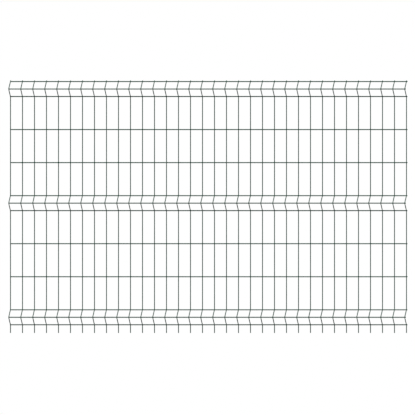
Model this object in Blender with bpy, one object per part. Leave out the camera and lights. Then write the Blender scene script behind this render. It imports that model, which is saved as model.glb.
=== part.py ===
"""Welded mesh fence panel: upright wires pressed into three V folds, with straight cross wires on them.

Metres, +Z up. +X runs along the panel, and the folds stand out towards -Y, the front.
The origin is the centre of the sheared foot of the left edge wire, at ground level.
"""

import math

import bmesh
import bpy
from mathutils import Matrix, Vector

# Upright wires, one above each foot. Diameters are measured over the coat
UPRIGHT_COUNT = 34
UPRIGHT_PITCH = 0.0755
UPRIGHT_DIAMETER = 0.0055

# Cross wires, all welded to the back of the uprights
CROSS_DIAMETER = 0.0065
CROSS_OVERHANG = 0.00425  # from the edge upright's axis to the sheared end

# Flat fields of mesh between the folds
FIELD_MESH_HEIGHT = 0.200
MESHES_PER_FIELD = 3

# Folds, measured on the upright's axis from bend corner to bend corner
FOLDS = ("bottom", "middle", "top")
FIELDS = ("lower", "upper")
FOLD_RISE = 0.047
FOLD_DEPTH = 0.040
FOLD_INNER_RADIUS = 0.006

# Wire ends
PRONG_LENGTH = 0.050  # from the lowest cross wire's axis down to the feet
TOP_STUB = 0.0025  # from the middle of the top weld to the upright's sheared end

# Two wires of a weld lie this far apart
WELD_GAP = 0.0003

# Facets. A bend has an odd number, so that a flat one lies where the cross wire seats
WIRE_SIDES = 8
KINK_STEPS = 1
APEX_STEPS = 3
SHARP_EDGE = math.radians(60)  # only the sheared ends turn further

COAT_COLOUR = (0.010, 0.055, 0.034, 1.0)
COAT_ROUGHNESS = 0.38
COAT_METALLIC = 0.0

# Worked out from the sizes above
UPRIGHT_RADIUS = UPRIGHT_DIAMETER / 2
CROSS_RADIUS = CROSS_DIAMETER / 2
BEND_RADIUS = FOLD_INNER_RADIUS + UPRIGHT_RADIUS
SLOPE = math.atan2(FOLD_DEPTH, FOLD_RISE)  # of a fold's leg, from upright
LEG_LENGTH = math.hypot(FOLD_DEPTH, FOLD_RISE)
KINK_CUT = BEND_RADIUS * math.tan(SLOPE / 2)  # corner to tangent point
APEX_CUT = BEND_RADIUS * math.tan(SLOPE)
AXIS_SPACING = UPRIGHT_RADIUS + WELD_GAP + CROSS_RADIUS


def kink_seat():
    """Distance from a kink's corner to the axis of the cross wire behind it, on the bisector."""
    outer_facet = (BEND_RADIUS + UPRIGHT_RADIUS) * math.cos(SLOPE / 2 / KINK_STEPS)
    return outer_facet + WELD_GAP + CROSS_RADIUS - BEND_RADIUS / math.cos(SLOPE / 2)


def apex_seat():
    """Distance behind an apex corner of the axis of the cross wire inside the V."""
    inner_facet = FOLD_INNER_RADIUS * math.cos(SLOPE / APEX_STEPS)
    return BEND_RADIUS / math.cos(SLOPE) - inner_facet + WELD_GAP + CROSS_RADIUS


KINK_SHIFT = kink_seat() * math.sin(SLOPE / 2)  # a kink's cross wire lies this far into the fold
FIELD_RUN = MESHES_PER_FIELD * FIELD_MESH_HEIGHT - 2 * KINK_SHIFT  # corner to corner
FIRST_CORNER = PRONG_LENGTH - KINK_SHIFT
TOP_WELD_RISE = FOLD_RISE - KINK_SHIFT + AXIS_SPACING * math.sin(SLOPE)  # over the apex corner
TOP_LEG = TOP_WELD_RISE / math.cos(SLOPE) + TOP_STUB


def coat(name):
    """Dark green coat over the steel wire."""
    material = bpy.data.materials.new(name)
    material.use_nodes = True
    shader = material.node_tree.nodes["Principled BSDF"]
    shader.inputs["Base Color"].default_value = COAT_COLOUR
    shader.inputs["Roughness"].default_value = COAT_ROUGHNESS
    shader.inputs["Metallic"].default_value = COAT_METALLIC
    material.diffuse_color = COAT_COLOUR
    return material


def wire_section(bm, radius):
    """One flat face with a side towards +Y and -Y. The sides lie at the wire's radius."""
    half_side = math.pi / WIRE_SIDES
    bmesh.ops.create_circle(
        bm,
        cap_ends=True,
        segments=WIRE_SIDES,
        radius=radius / math.cos(half_side),
        matrix=Matrix.Rotation(half_side, 4, "Z"),
    )
    bm.faces.ensure_lookup_table()
    return bm.faces[0]


def finish_wire(bm, name):
    """The wire's mesh, smooth along its length and sharp at its sheared ends."""
    bmesh.ops.recalc_face_normals(bm, faces=bm.faces)
    mesh = bpy.data.meshes.new(name)
    bm.to_mesh(mesh)
    bm.free()
    mesh.shade_smooth()
    mesh.set_sharp_from_angle(angle=SHARP_EDGE)
    return mesh


class WireBender:
    """Feeds a wire upwards from its foot and bends it in the YZ plane, as the press does."""

    def __init__(self, radius):
        self.bm = bmesh.new()
        self.end = wire_section(self.bm, radius)
        self.position = Vector((0, 0, 0))
        self.lean = 0.0  # towards the front, from upright

    def direction(self):
        return Vector((0, -math.sin(self.lean), math.cos(self.lean)))

    def sweep(self, transform):
        """Carries the end of the wire along and skins the stretch behind it."""
        made = bmesh.ops.extrude_face_region(self.bm, geom=[self.end, *self.end.edges])["geom"]
        corners = [v for v in made if isinstance(v, bmesh.types.BMVert)]
        bmesh.ops.transform(self.bm, matrix=transform, verts=corners)
        self.end = next(f for f in made if isinstance(f, bmesh.types.BMFace))
        self.position = transform @ self.position

    def feed(self, length):
        """Straight stretch."""
        self.sweep(Matrix.Translation(self.direction() * length))

    def bend(self, angle, steps):
        """Bend of the press's radius, towards the front where the angle is positive."""
        side = math.copysign(1, angle)
        front = Vector((0, -math.cos(self.lean), -math.sin(self.lean)))
        centre = Matrix.Translation(self.position + front * side * BEND_RADIUS)
        turn = centre @ Matrix.Rotation(angle / steps, 4, "X") @ centre.inverted()
        for _ in range(steps):
            self.sweep(turn)
        self.lean += angle


def upright_mesh():
    """Upright wire with a V pressed into it at each fold. The top V runs out at the wire's end."""
    wire = WireBender(UPRIGHT_RADIUS)
    run = FIRST_CORNER - KINK_CUT
    for fold in FOLDS:
        wire.feed(run)
        wire.bend(SLOPE, KINK_STEPS)
        wire.feed(LEG_LENGTH - KINK_CUT - APEX_CUT)
        wire.bend(-2 * SLOPE, APEX_STEPS)
        if fold != FOLDS[-1]:
            wire.feed(LEG_LENGTH - APEX_CUT - KINK_CUT)
            wire.bend(SLOPE, KINK_STEPS)
            run = FIELD_RUN - 2 * KINK_CUT
    wire.feed(TOP_LEG - APEX_CUT)
    return finish_wire(wire.bm, "upright_wire")


def cross_mesh():
    """Straight wire along +X, with one of its sides towards -Y before it is tilted to its seat."""
    length = (UPRIGHT_COUNT - 1) * UPRIGHT_PITCH + 2 * CROSS_OVERHANG
    wire = bmesh.new()
    end = wire_section(wire, CROSS_RADIUS)
    made = bmesh.ops.extrude_face_region(wire, geom=[end])["geom"]
    corners = [v for v in made if isinstance(v, bmesh.types.BMVert)]
    bmesh.ops.translate(wire, verts=corners, vec=(0, 0, length))
    bmesh.ops.rotate(wire, verts=wire.verts, matrix=Matrix.Rotation(math.pi / 2, 3, "Y"))
    return finish_wire(wire, "cross_wire")


def cross_wire_rows():
    """(name, y, z, tilt) of each cross wire from the ground up. Tilt turns its flat side to the seat."""
    seat = kink_seat()
    apex_y = apex_seat() - FOLD_DEPTH
    kink_y = seat * math.cos(SLOPE / 2)
    corner = FIRST_CORNER
    for index, fold in enumerate(FOLDS):
        apex_z = corner + FOLD_RISE
        upper_z = corner + 2 * FOLD_RISE - KINK_SHIFT
        yield f"{fold}_fold_lower_wire", kink_y, corner + KINK_SHIFT, SLOPE / 2
        yield f"{fold}_fold_apex_wire", apex_y, apex_z, 0.0
        if fold == FOLDS[-1]:
            leg_y = TOP_WELD_RISE * math.tan(SLOPE) - FOLD_DEPTH
            top_y = leg_y + AXIS_SPACING * math.cos(SLOPE)
            yield f"{fold}_fold_upper_wire", top_y, upper_z, -SLOPE
            return
        yield f"{fold}_fold_upper_wire", kink_y, upper_z, -SLOPE / 2
        for row in range(1, MESHES_PER_FIELD):
            row_z = upper_z + row * FIELD_MESH_HEIGHT
            yield f"{FIELDS[index]}_field_wire_{row}", AXIS_SPACING, row_z, 0.0
        corner += 2 * FOLD_RISE + FIELD_RUN


def upright_name(number):
    if number == 1:
        return "left_edge_wire"
    if number == UPRIGHT_COUNT:
        return "right_edge_wire"
    return f"upright_wire_{number:02d}"


def place(name, mesh, panel, location, tilt=0.0):
    """One wire of the panel."""
    wire = bpy.data.objects.new(name, mesh)
    bpy.context.scene.collection.objects.link(wire)
    wire.parent = panel
    wire.location = location
    wire.rotation_euler = (tilt, 0, 0)


def main():
    for old in list(bpy.data.objects):
        bpy.data.objects.remove(old)
    panel = bpy.data.objects.new("fence_panel", None)
    bpy.context.scene.collection.objects.link(panel)

    upright = upright_mesh()
    upright.materials.append(coat("upright_wire_coat"))
    for number in range(1, UPRIGHT_COUNT + 1):
        place(upright_name(number), upright, panel, ((number - 1) * UPRIGHT_PITCH, 0, 0))

    cross = cross_mesh()
    cross.materials.append(coat("cross_wire_coat"))
    for name, y, z, tilt in cross_wire_rows():
        place(name, cross, panel, (-CROSS_OVERHANG, y, z), tilt)


main()
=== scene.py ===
"""Scene of the welded mesh fence panel: round coated wires and their welds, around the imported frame."""

import math

import bpy
import numpy as np
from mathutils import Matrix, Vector


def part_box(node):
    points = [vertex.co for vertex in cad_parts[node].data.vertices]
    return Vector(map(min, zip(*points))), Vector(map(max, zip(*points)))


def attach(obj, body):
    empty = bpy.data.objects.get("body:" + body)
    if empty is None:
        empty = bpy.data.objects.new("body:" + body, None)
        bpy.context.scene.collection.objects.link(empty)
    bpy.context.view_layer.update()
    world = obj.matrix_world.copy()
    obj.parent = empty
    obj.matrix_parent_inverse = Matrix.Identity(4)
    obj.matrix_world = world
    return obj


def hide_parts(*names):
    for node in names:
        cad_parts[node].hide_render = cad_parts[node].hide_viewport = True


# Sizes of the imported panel, in metres
UPRIGHT_COUNT = 34
UPRIGHT_PITCH = 0.0755
UPRIGHT_RADIUS = 0.00275
CROSS_RADIUS = 0.00325
FIELD_MESH_HEIGHT = 0.200
MESHES_PER_FIELD = 3
FOLD_RISE = 0.047  # of one leg, on the upright's axis from bend corner to bend corner
FOLD_DEPTH = 0.040
FOLD_INNER_RADIUS = 0.006
PRONG_LENGTH = 0.050  # from the lowest cross wire's axis down to the feet
TOP_STUB = 0.0025  # from the middle of the top weld to the upright's sheared end
FOLDS = ("bottom", "middle", "top")
FIELDS = ("lower", "upper")

# Finish of the wires
WIRE_SIDES = 32
BEND_STEP = math.radians(6)
BEND_FLATTENING = 0.03  # the press squeezes a bend by this share of its diameter
SHEARED_EDGE = 0.0006  # radius that the coat leaves on a sheared end
SHEARED_EDGE_RINGS = 4
CREASE = math.radians(35)  # faces that meet at more than this keep a sharp edge

# Welds. A fillet fills the corner where the distances to the two wires differ by less than its size
WELD_FILLET = 0.0023
WELD_OVAL = 0.10  # shares by which the fillet swells and shrinks round a weld
WELD_LUMPS = 0.06
WELD_SPREAD = 0.12  # share by which it differs from weld to weld
WELD_SEED = 7
WELD_SINK = 0.00005  # a weld's edges lie this far under the wires' skin
WELD_BEARINGS = 28
WELD_RINGS = 10

# A weld's skin is searched for along rays from its middle
SCAN_HEIGHT = math.radians(75)  # of the steepest ray, over or under the weld's plane
SCAN_HEIGHTS = 101
SCAN_REACH = 0.0055
SCAN_STEPS = 56
TINY = 1e-9  # keeps a share from being divided by nothing

# Coat. Colours are linear, and a noise's scale is in lumps to the metre
MOSS_GREEN = (0.010, 0.055, 0.034)
ZINC = (0.30, 0.31, 0.32)
DUST = (0.20, 0.21, 0.18)
COAT_SPECULAR = 0.15
CLOUDS = {"scale": 35, "detail": 4}  # slow change of tone along a wire
CLOUD_SPAN = (0.3, 0.7)  # the noise's values between the darkest and the lightest tone
DARKEST_TONE = 0.8
LIGHTEST_TONE = 1.2
SHEEN = {"scale": 90, "detail": 3}
SHEEN_SPAN = (0.3, 0.7)
ROUGHNESS = (0.36, 0.50)
ORANGE_PEEL = {"scale": 700, "detail": 2}
PEEL_STRENGTH = 0.35
PEEL_HEIGHT = 0.00006
DUST_PATCHES = {"scale": 220, "detail": 3}
DUST_SPAN = (0.35, 0.65)
DUST_THINNEST = 0.2  # share of the dust that stays between the patches
DUST_FACING = (0.5, 1.0)  # height of the normal from no dust to the most
DUST_SHARE = 0.08
SCUFFS = {"scale": 900, "detail": 2}
SCUFF_SPAN = (0.46, 0.56)
SCUFF_HEIGHT = 0.004  # over the ground, where the scuffs on the feet run out

# Floor, surroundings and light. A strength of 1 is white to the camera
FLOOR_SIZE = 40
FLOOR_GREY = 0.36
FLOOR_GLOW = 0.6  # seen by the camera, on top of the lit grey
WORLD_SEEN = 1.0
WORLD_LIGHT = 0.28
LIGHT_ELEVATION = math.radians(56)
LIGHT_SIDE = math.radians(-10)  # from straight in front, towards the right
LIGHT_SOFTNESS = math.radians(9)
LIGHT_STRENGTH = 1.1  # on a face square to it
LIGHT_DISTANCE = 10

# View of the photograph, a parallel drawing
PICTURE_SIDE = 415  # in pixels
VIEW_PITCH = 12  # pixels from upright to upright, a whole number so that all are drawn alike
VIEW_SIDE = 1  # pixels by which the panel's middle stands right of the picture's
VIEW_WIDTH = 2.511
VIEW_HEIGHT = 0.7595  # of the picture's middle over the ground
VIEW_DISTANCE = 10

# Worked out from the sizes above
BEND_RADIUS = FOLD_INNER_RADIUS + UPRIGHT_RADIUS
SLOPE = math.atan2(FOLD_DEPTH, FOLD_RISE)  # of a fold's leg, from upright
LEG_LENGTH = math.hypot(FOLD_DEPTH, FOLD_RISE)
KINK_CUT = BEND_RADIUS * math.tan(SLOPE / 2)  # corner to tangent point
APEX_CUT = BEND_RADIUS * math.tan(SLOPE)
LENGTH = (UPRIGHT_COUNT - 1) * UPRIGHT_PITCH
PIXEL = VIEW_WIDTH / PICTURE_SIDE  # in metres
VIEW_AZIMUTH = math.acos(VIEW_PITCH * PIXEL / UPRIGHT_PITCH)
TURNS = [2 * math.pi * side / WIRE_SIDES for side in range(WIRE_SIDES)]  # round a wire

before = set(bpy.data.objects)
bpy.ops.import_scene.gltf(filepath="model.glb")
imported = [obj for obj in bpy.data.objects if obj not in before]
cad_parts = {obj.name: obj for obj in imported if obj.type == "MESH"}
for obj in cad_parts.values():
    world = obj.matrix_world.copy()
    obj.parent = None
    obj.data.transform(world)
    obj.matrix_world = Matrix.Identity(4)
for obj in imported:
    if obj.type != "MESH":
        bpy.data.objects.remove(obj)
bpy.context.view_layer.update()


def centre_of(node):
    low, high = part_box(node)
    return (Vector(low) + Vector(high)) / 2


class Mesher:
    """Gathers closed forms made of rings that all have the same number of points."""

    def __init__(self):
        self.vertices = []
        self.faces = []

    def add_rings(self, rings, first_pole, last_pole):
        """One closed form, whose two ends close in the poles."""
        start = len(self.vertices)
        count = len(rings[0])
        for ring in rings:
            self.vertices.extend(tuple(point) for point in ring)
        poles = len(self.vertices)
        self.vertices.extend((tuple(first_pole), tuple(last_pole)))
        for level in range(len(rings) - 1):
            low = start + level * count
            for side in range(count):
                after = (side + 1) % count
                self.faces.append((low + side, low + after, low + count + after, low + count + side))
        last = start + (len(rings) - 1) * count
        for side in range(count):
            after = (side + 1) % count
            self.faces.append((poles, start + after, start + side))
            self.faces.append((poles + 1, last + side, last + after))


def add_piece(name, form, material, nodes=()):
    """Smooth-shaded mesh that rides on the panel and stands for the nodes named."""
    mesh = bpy.data.meshes.new(name)
    mesh.from_pydata(form.vertices, [], form.faces)
    mesh.update()
    mesh.shade_smooth()
    mesh.set_sharp_from_angle(angle=CREASE)
    mesh.materials.append(material)
    piece = bpy.data.objects.new(name, mesh)
    bpy.context.scene.collection.objects.link(piece)
    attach(piece, "root")
    if nodes:
        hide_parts(*nodes)


def sheared_end(radius):
    """(distance from the end, radius) of the rings that round a sheared end's edge."""
    rings = []
    for ring in range(SHEARED_EDGE_RINGS + 1):
        angle = math.pi / 2 * ring / SHEARED_EDGE_RINGS
        distance = SHEARED_EDGE * (1 - math.cos(angle))
        rings.append((distance, radius - SHEARED_EDGE * (1 - math.sin(angle))))
    return rings


def first_kink_shift():
    """Height of the lowest cross wire over the corner of the kink that it lies behind."""
    return centre_of("bottom_fold_lower_wire").y * math.tan(SLOPE / 2)


def upright_axis():
    """(y, z, lean, squeeze) at stations along the axis of an upright wire, from foot to top."""
    y, z, lean = 0.0, 0.0, 0.0
    stations = [(y, z, lean, 0.0)]

    def feed(length):
        nonlocal y, z
        y -= length * math.sin(lean)
        z += length * math.cos(lean)
        stations.append((y, z, lean, 0.0))

    def bend(angle):
        nonlocal y, z, lean
        steps = math.ceil(abs(angle) / BEND_STEP)
        chord = 2 * BEND_RADIUS * math.sin(abs(angle) / steps / 2)
        for step in range(steps):
            heading = lean + angle / steps / 2
            y -= chord * math.sin(heading)
            z += chord * math.cos(heading)
            lean += angle / steps
            squeeze = math.sin(math.pi * (step + 1) / steps) ** 2
            stations.append((y, z, lean, squeeze))

    kink_shift = first_kink_shift()
    run = PRONG_LENGTH - kink_shift - KINK_CUT
    for fold in FOLDS:
        feed(run)
        bend(SLOPE)
        feed(LEG_LENGTH - KINK_CUT - APEX_CUT)
        bend(-2 * SLOPE)
        if fold != FOLDS[-1]:
            feed(LEG_LENGTH - APEX_CUT - KINK_CUT)
            bend(SLOPE)
            run = MESHES_PER_FIELD * FIELD_MESH_HEIGHT - 2 * kink_shift - 2 * KINK_CUT
    apex, seat = centre_of("top_fold_apex_wire"), centre_of("top_fold_upper_wire")
    to_weld = (seat.y + FOLD_DEPTH) * math.sin(SLOPE) + (seat.z - apex.z) * math.cos(SLOPE)
    feed(to_weld + TOP_STUB - APEX_CUT)
    return stations


def upright_ring(y, z, lean, in_plane, across):
    """Points round an upright wire at x = 0, by its radius in the plane of its bends and across it."""
    ring = []
    for turn in TURNS:
        out = in_plane * math.sin(turn)
        place = (across * math.cos(turn), y + out * math.cos(lean), z + out * math.sin(lean))
        ring.append(Vector(place))
    return ring


def upright_rings(stations):
    """Rings of an upright wire at x = 0, with its sheared ends rounded by the coat."""
    foot_y, foot_z, _, _ = stations[0]
    top_y, top_z, top_lean, _ = stations[-1]
    end = sheared_end(UPRIGHT_RADIUS)
    rings = [upright_ring(foot_y, foot_z + distance, 0.0, radius, radius) for distance, radius in end]
    for y, z, lean, squeeze in stations[1:-1]:
        in_plane = UPRIGHT_RADIUS * (1 - BEND_FLATTENING * squeeze)
        across = UPRIGHT_RADIUS * (1 + BEND_FLATTENING * squeeze / 2)
        rings.append(upright_ring(y, z, lean, in_plane, across))
    for distance, radius in reversed(end):
        y = top_y + distance * math.sin(top_lean)
        z = top_z - distance * math.cos(top_lean)
        rings.append(upright_ring(y, z, top_lean, radius, radius))
    return rings


def cross_rings(node):
    """Rings of a straight cross wire on its node's axis, with its sheared ends rounded too."""
    low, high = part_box(node)
    centre = centre_of(node)
    end = sheared_end(CROSS_RADIUS)
    placed = [(low[0] + distance, radius) for distance, radius in end]
    placed += [(high[0] - distance, radius) for distance, radius in reversed(end)]
    rings = []
    for x, radius in placed:
        ring = []
        for turn in TURNS:
            ring.append((x, centre.y + radius * math.cos(turn), centre.z + radius * math.sin(turn)))
        rings.append(ring)
    return rings


def distance_to_path(points, path):
    """Distance in the YZ plane of each point to a bent path."""
    nearest = np.full(points.shape[:-1], np.inf)
    for start, end in zip(path[:-1], path[1:]):
        along = end - start
        share = np.clip(((points - start) @ along) / (along @ along), 0, 1)
        gap = points - (start + share[..., None] * along)
        nearest = np.minimum(nearest, np.linalg.norm(gap, axis=-1))
    return nearest


def distance_to_sheared(to_side, to_end):
    """Distance to a wire with a rounded sheared end, from those to its side and to its end's plane."""
    to_side, to_end = to_side + SHEARED_EDGE, to_end + SHEARED_EDGE
    outside = np.hypot(np.maximum(to_side, 0), np.maximum(to_end, 0))
    return outside + np.minimum(np.maximum(to_side, to_end), 0) - SHEARED_EDGE


def distance_to_upright(x, yz, path):
    """Distance of each point to the skin of an upright wire at x = 0."""
    along = (path[-1] - path[-2]) / np.linalg.norm(path[-1] - path[-2])
    lengthened = np.vstack((path, path[-1] + along * SCAN_REACH))
    to_side = np.hypot(distance_to_path(yz, lengthened), x) - UPRIGHT_RADIUS
    return distance_to_sheared(to_side, (yz - path[-1]) @ along)


def find_touch(path, seat):
    """Middle of the gap between the wires, and the direction across it towards the cross wire."""
    nearest = None
    for start, end in zip(path[:-1], path[1:]):
        along = end - start
        share = np.clip(((seat - start) @ along) / (along @ along), 0, 1)
        foot = start + share * along
        if nearest is None or np.linalg.norm(seat - foot) < np.linalg.norm(seat - nearest):
            nearest = foot
    across = seat - nearest
    spacing = np.linalg.norm(across)
    across /= spacing
    return nearest + across * (UPRIGHT_RADIUS + spacing - CROSS_RADIUS) / 2, across


class Weld:
    """The form of one cross wire's welds: a collar that fills the corner between the two wires.

    It is worked out on rays from the weld's middle. A ray's bearing is its angle in the plane that
    parts the two wires, and its height is its angle over that plane, towards the cross wire.
    """

    def __init__(self, node, path):
        centre = centre_of(node)
        seat = np.array((centre.y, centre.z))
        low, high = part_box(node)
        self.ends = (low[0], high[0])
        self.touch, self.normal = find_touch(path, seat)
        self.bearings = 2 * np.pi * np.arange(WELD_BEARINGS) / WELD_BEARINGS
        self.heights = np.linspace(-SCAN_HEIGHT, SCAN_HEIGHT, SCAN_HEIGHTS)
        self.steps = np.linspace(0, SCAN_REACH, SCAN_STEPS)
        directions = self.directions(self.heights[:, None], self.bearings[None, :])
        rays = directions[..., None, :] * self.steps[:, None]
        yz = rays[..., 1:] + self.touch
        self.along = rays[..., 0]
        self.to_upright = distance_to_upright(self.along, yz, path)
        self.to_cross_side = np.linalg.norm(yz - seat, axis=-1) - CROSS_RADIUS

    def directions(self, heights, bearings):
        """Unit directions of rays from the middle of the weld."""
        across_y, across_z = self.normal
        level = np.cos(heights) * np.cos(bearings)
        along = np.cos(heights) * np.sin(bearings)
        rise = np.sin(heights)
        y = along * across_z + rise * across_y
        z = rise * across_z - along * across_y
        return np.stack((level, y, z), axis=-1)

    def find_skin(self, x, fillet):
        """Reach of the weld's skin along each ray, and the overlap there, over 0 where it is fillet."""
        to_cross_end = np.maximum(self.ends[0] - x - self.along, x + self.along - self.ends[1])
        to_cross = distance_to_sheared(self.to_cross_side, to_cross_end)
        overlap = fillet - np.abs(self.to_upright - to_cross)
        filled = np.maximum(overlap, 0) ** 2 / (4 * fillet)
        skin = np.minimum(self.to_upright, to_cross) - filled + WELD_SINK
        outside = skin > 0
        outside[..., -1] = True
        first = np.argmax(outside, axis=-1)
        last = np.maximum(first - 1, 0)

        def inner_and_outer(values):
            return [np.take_along_axis(values, place[..., None], -1)[..., 0] for place in (last, first)]

        inner, outer = inner_and_outer(skin)
        share = np.clip(-inner / np.maximum(outer - inner, TINY), 0, 1)
        reach = self.steps[last] + share * (self.steps[first] - self.steps[last])
        inner, outer = inner_and_outer(overlap)
        return reach, inner + share * (outer - inner)

    def find_edge(self, overlap, inside, outside):
        """Height of a weld's edge, one step of the scan past the place where its fillet ends."""
        share = overlap[inside] / max(overlap[inside] - overlap[outside], TINY)
        edge = self.heights[inside] + share * (self.heights[outside] - self.heights[inside])
        return edge + self.heights[outside] - self.heights[inside]

    def rings(self, x, rng):
        """Rings of one weld at x, from its edge on the upright to its edge on the cross wire."""
        swell = 1 + WELD_OVAL * np.sin(2 * self.bearings + rng.uniform(0, 2 * np.pi))
        swell += WELD_LUMPS * np.sin(3 * self.bearings + rng.uniform(0, 2 * np.pi))
        swell += rng.uniform(-WELD_SPREAD, WELD_SPREAD)
        reach, overlap = self.find_skin(x, (WELD_FILLET * swell)[None, :, None])
        shares = (1 - np.cos(np.linspace(0, np.pi, WELD_RINGS))) / 2
        heights = np.empty((WELD_RINGS, WELD_BEARINGS))
        reaches = np.empty((WELD_RINGS, WELD_BEARINGS))
        for side in range(WELD_BEARINGS):
            filled = np.flatnonzero(overlap[:, side] > 0)
            low = self.find_edge(overlap[:, side], filled[0], filled[0] - 1)
            high = self.find_edge(overlap[:, side], filled[-1], filled[-1] + 1)
            heights[:, side] = low + (high - low) * shares
            reaches[:, side] = np.interp(heights[:, side], self.heights, reach[:, side])
        points = self.directions(heights, self.bearings[None, :]) * reaches[..., None]
        points += np.array((x, *self.touch))
        return points

    def poles(self, x):
        """Points inside the two wires, in which a weld at x closes."""
        middle = np.array((x, *self.touch))
        out = np.array((0, *self.normal))
        return middle - out * UPRIGHT_RADIUS, middle + out * CROSS_RADIUS


def fill(tree, node, inputs):
    """Sets the inputs of a shader node, or links them to the sockets given."""
    for name, value in inputs.items():
        if isinstance(value, bpy.types.NodeSocket):
            tree.links.new(value, node.inputs[name])
        else:
            node.inputs[name].default_value = value


def noise(tree, where, scale, detail):
    node = tree.nodes.new("ShaderNodeTexNoise")
    fill(tree, node, {"Vector": where, "Scale": scale, "Detail": detail})
    return node.outputs["Fac"]


def remap(tree, value, span, to=(0, 1)):
    """Value carried from one span of numbers to another, and held at its ends."""
    node = tree.nodes.new("ShaderNodeMapRange")
    fill(tree, node, {"Value": value, "From Min": span[0], "From Max": span[1]})
    fill(tree, node, {"To Min": to[0], "To Max": to[1]})
    return node.outputs["Result"]


def combine(tree, operation, first, second):
    node = tree.nodes.new("ShaderNodeMath")
    node.operation = operation
    fill(tree, node, {0: first, 1: second})
    return node.outputs["Value"]


def mix(tree, share, first, second):
    """First colour, with this share of the second."""
    node = tree.nodes.new("ShaderNodeMix")
    node.data_type = "RGBA"
    fill(tree, node, {"Factor": share, "A": first, "B": second})
    return node.outputs["Result"]


def z_of(tree, vector):
    node = tree.nodes.new("ShaderNodeSeparateXYZ")
    fill(tree, node, {"Vector": vector})
    return node.outputs["Z"]


def green(tone):
    """Moss green at this share of its brightness."""
    return (*(tone * channel for channel in MOSS_GREEN), 1)


def clouded_green(tree, where):
    """Moss green that turns a little darker and lighter along the wire."""
    clouds = remap(tree, noise(tree, where, **CLOUDS), CLOUD_SPAN)
    return mix(tree, clouds, green(DARKEST_TONE), green(LIGHTEST_TONE))


def dusted(tree, where, colour):
    """Colour with faint patches of dust on what faces up."""
    facing = tree.nodes.new("ShaderNodeNewGeometry").outputs["Normal"]
    on_top = remap(tree, z_of(tree, facing), DUST_FACING, (0, DUST_SHARE))
    patches = remap(tree, noise(tree, where, **DUST_PATCHES), DUST_SPAN, (DUST_THINNEST, 1))
    return mix(tree, combine(tree, "MULTIPLY", on_top, patches), colour, (*DUST, 1))


def scuffed(tree, where, colour):
    """Colour with bare zinc where a foot has been set down."""
    low_down = remap(tree, z_of(tree, where), (0, SCUFF_HEIGHT), (1, 0))
    scuffs = remap(tree, noise(tree, where, **SCUFFS), SCUFF_SPAN)
    return mix(tree, combine(tree, "MULTIPLY", low_down, scuffs), colour, (*ZINC, 1))


def coat(name, feet):
    """Moss green plastic coat over zinc, with a fine orange peel. feet adds scuffs at the sheared feet."""
    material = bpy.data.materials.new(name)
    material.use_nodes = True
    tree = material.node_tree
    where = tree.nodes.new("ShaderNodeTexCoord").outputs["Object"]
    colour = dusted(tree, where, clouded_green(tree, where))
    if feet:
        colour = scuffed(tree, where, colour)
    peel = tree.nodes.new("ShaderNodeBump")
    fill(tree, peel, {"Strength": PEEL_STRENGTH, "Distance": PEEL_HEIGHT})
    fill(tree, peel, {"Height": noise(tree, where, **ORANGE_PEEL)})
    shader = tree.nodes["Principled BSDF"]
    shader.inputs["Specular IOR Level"].default_value = COAT_SPECULAR
    roughness = remap(tree, noise(tree, where, **SHEEN), SHEEN_SPAN, ROUGHNESS)
    fill(tree, shader, {"Base Color": colour, "Roughness": roughness, "Normal": peel.outputs["Normal"]})
    return material


def upright_node(number):
    """Name of an upright wire, counted from the left edge."""
    if number == 1:
        return "left_edge_wire"
    if number == UPRIGHT_COUNT:
        return "right_edge_wire"
    return f"upright_wire_{number:02d}"


def cross_nodes():
    """Names of the cross wires, from the ground up."""
    for index, fold in enumerate(FOLDS):
        for part in ("lower", "apex", "upper"):
            yield f"{fold}_fold_{part}_wire"
        if index < len(FIELDS):
            for row in range(1, MESHES_PER_FIELD):
                yield f"{FIELDS[index]}_field_wire_{row}"


def build_uprights(stations):
    """Upright wires, all bent alike."""
    material = coat("upright_wire_coat", feet=True)
    rings = upright_rings(stations)
    foot, top = (Vector((0, y, z)) for y, z, _, _ in (stations[0], stations[-1]))
    for number in range(1, UPRIGHT_COUNT + 1):
        shift = Vector(((number - 1) * UPRIGHT_PITCH, 0, 0))
        wire = Mesher()
        wire.add_rings([[point + shift for point in ring] for ring in rings], foot + shift, top + shift)
        node = upright_node(number)
        add_piece(f"{node}_round", wire, material, (node,))


def build_cross_wires(path):
    """Straight cross wires, each with its welds to all uprights."""
    material = coat("cross_wire_coat", feet=False)
    rng = np.random.default_rng(WELD_SEED)
    for node in cross_nodes():
        low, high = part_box(node)
        centre = centre_of(node)
        wire = Mesher()
        wire.add_rings(cross_rings(node), (low[0], centre.y, centre.z), (high[0], centre.y, centre.z))
        add_piece(f"{node}_round", wire, material, (node,))
        weld = Weld(node, path)
        welds = Mesher()
        for number in range(UPRIGHT_COUNT):
            x = number * UPRIGHT_PITCH
            welds.add_rings(weld.rings(x, rng), *weld.poles(x))
        add_piece(f"{node}_welds", welds, material)


def seen_ray(tree, seen, unseen):
    """One strength for rays that see the background, straight or mirrored, and another for the rest."""
    rays = tree.nodes.new("ShaderNodeLightPath").outputs
    most = rays["Is Camera Ray"]
    for name in ("Is Glossy Ray", "Is Transmission Ray"):
        most = combine(tree, "MAXIMUM", most, rays[name])
    return remap(tree, most, (0, 1), (unseen, seen))


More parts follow.
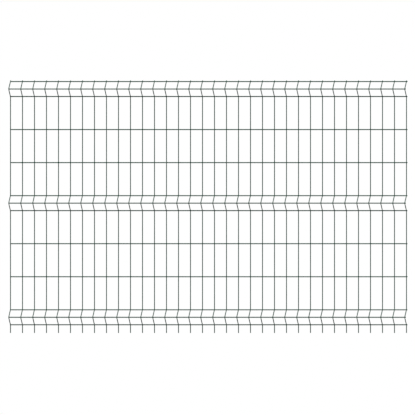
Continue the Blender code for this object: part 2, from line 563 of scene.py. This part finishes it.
def add_floor():
    """Pale floor that is white to the camera and keeps the panel's shadow."""
    bpy.ops.mesh.primitive_plane_add(size=FLOOR_SIZE, location=(LENGTH / 2, 0, 0))
    floor = bpy.context.object
    floor.name = "floor"
    material = bpy.data.materials.new("floor")
    material.use_nodes = True
    tree = material.node_tree
    tree.nodes.clear()
    diffuse = tree.nodes.new("ShaderNodeBsdfDiffuse")
    diffuse.inputs["Color"].default_value = (FLOOR_GREY, FLOOR_GREY, FLOOR_GREY, 1)
    glow = tree.nodes.new("ShaderNodeEmission")
    fill(tree, glow, {"Strength": seen_ray(tree, FLOOR_GLOW, 0)})
    both = tree.nodes.new("ShaderNodeAddShader")
    fill(tree, both, {0: diffuse.outputs["BSDF"], 1: glow.outputs["Emission"]})
    output = tree.nodes.new("ShaderNodeOutputMaterial")
    fill(tree, output, {"Surface": both.outputs["Shader"]})
    floor.data.materials.append(material)


def add_light():
    """White surroundings and one soft light, high up in front and to the left."""
    world = bpy.data.worlds.new("studio")
    world.use_nodes = True
    background = world.node_tree.nodes["Background"]
    background.inputs["Color"].default_value = (1, 1, 1, 1)
    strength = seen_ray(world.node_tree, WORLD_SEEN, WORLD_LIGHT)
    fill(world.node_tree, background, {"Strength": strength})
    bpy.context.scene.world = world

    level = math.cos(LIGHT_ELEVATION)
    right, front = math.sin(LIGHT_SIDE) * level, math.cos(LIGHT_SIDE) * level
    towards = Vector((right, -front, math.sin(LIGHT_ELEVATION)))
    light = bpy.data.lights.new("soft_box", "SUN")
    light.angle = LIGHT_SOFTNESS
    light.energy = math.pi * LIGHT_STRENGTH
    soft_box = bpy.data.objects.new("soft_box", light)
    soft_box.location = towards * LIGHT_DISTANCE
    soft_box.rotation_euler = towards.to_track_quat("Z", "Y").to_euler()
    bpy.context.scene.collection.objects.link(soft_box)


def add_camera():
    """Parallel camera at the drawing's scale, turned so that each upright falls on a pixel's middle."""
    right = Vector((math.cos(VIEW_AZIMUTH), math.sin(VIEW_AZIMUTH), 0))
    back = Vector((math.sin(VIEW_AZIMUTH), -math.cos(VIEW_AZIMUTH), 0))
    target = Vector((LENGTH / 2, 0, VIEW_HEIGHT)) - right * VIEW_SIDE * PIXEL
    camera_data = bpy.data.cameras.new("camera")
    camera_data.type = "ORTHO"
    camera_data.ortho_scale = VIEW_WIDTH
    camera = bpy.data.objects.new("camera", camera_data)
    camera.location = target + back * VIEW_DISTANCE
    camera.rotation_euler = back.to_track_quat("Z", "Y").to_euler()
    bpy.context.scene.collection.objects.link(camera)
    bpy.context.scene.camera = camera


axis_stations = upright_axis()
build_uprights(axis_stations)
build_cross_wires(np.array([(y, z) for y, z, _, _ in axis_stations]))
add_floor()
add_light()
add_camera()
bpy.context.scene.view_settings.view_transform = "Standard"
